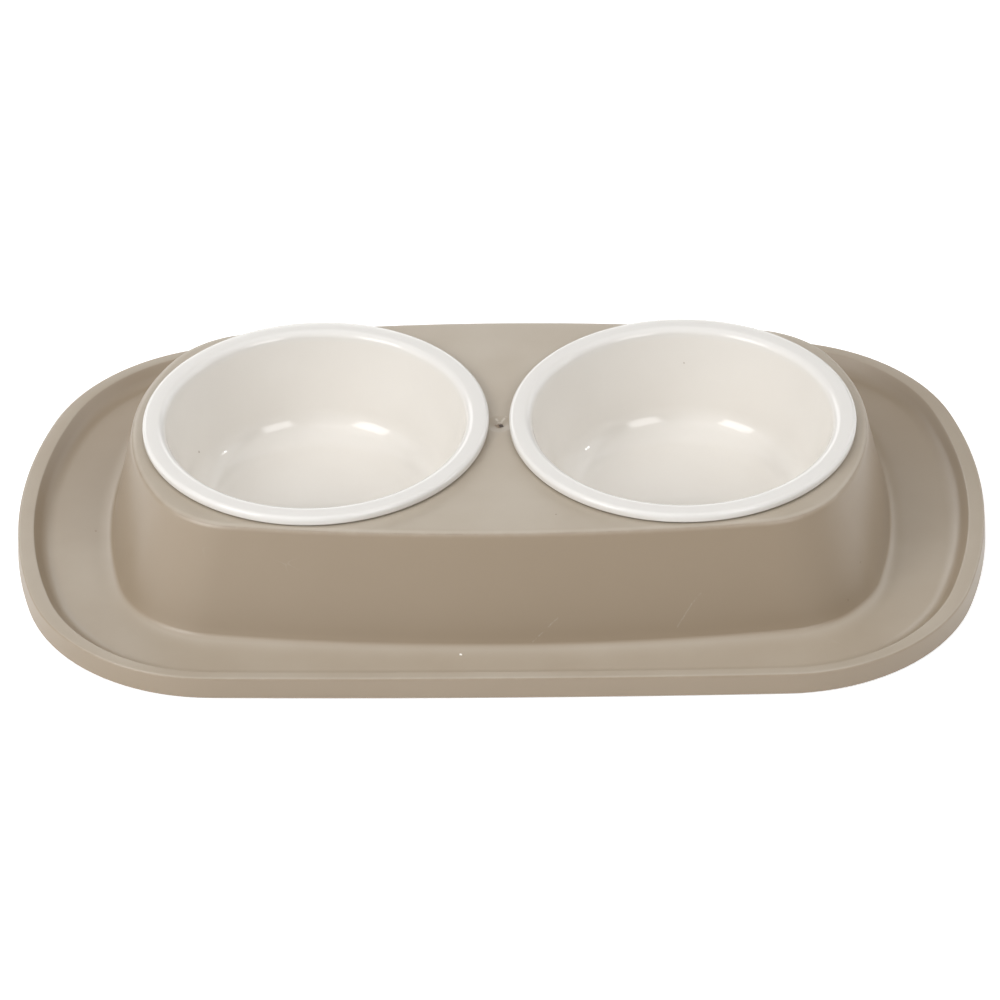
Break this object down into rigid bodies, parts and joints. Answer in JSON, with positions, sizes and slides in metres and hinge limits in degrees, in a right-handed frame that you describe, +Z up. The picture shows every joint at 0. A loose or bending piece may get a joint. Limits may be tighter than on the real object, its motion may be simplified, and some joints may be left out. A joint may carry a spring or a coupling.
{
  "type": "double pet bowl",
  "caption": "Pet feeding station: a raised-lip spill tray with a raised platform, from whose apertures loose drop-in bowls hang by broad rims.",
  "frame": {"origin": "centre of the outline on the table, at the underside of the rubber feet", "axes": "+X along the long side from the left bowl to the right bowl, +Y to the back, +Z up"},
  "size_m": [0.44, 0.264, 0.0584],
  "materials": {
    "base": "satin moulded, warm taupe",
    "bowl": "glossy, cream white",
    "foot": "matte rubber"
  },
  "bodies": {
    "base": {"base_tray": "base", "foot_front_left": "foot", "foot_front_middle": "foot", "foot_front_right": "foot", "foot_rear_left": "foot", "foot_rear_middle": "foot", "foot_rear_right": "foot"},
    "left_bowl": {"bowl_left": "bowl"},
    "right_bowl": {"bowl_right": "bowl"}
  },
  "joints": [
    {"name": "bowl_left_lift", "type": "slide", "parent": "base", "child": "left_bowl", "axis": [0, 0, 1], "range_m": [0, 0.08]},
    {"name": "bowl_right_lift", "type": "slide", "parent": "base", "child": "right_bowl", "axis": [0, 0, 1], "range_m": [0, 0.08]}
  ]
}
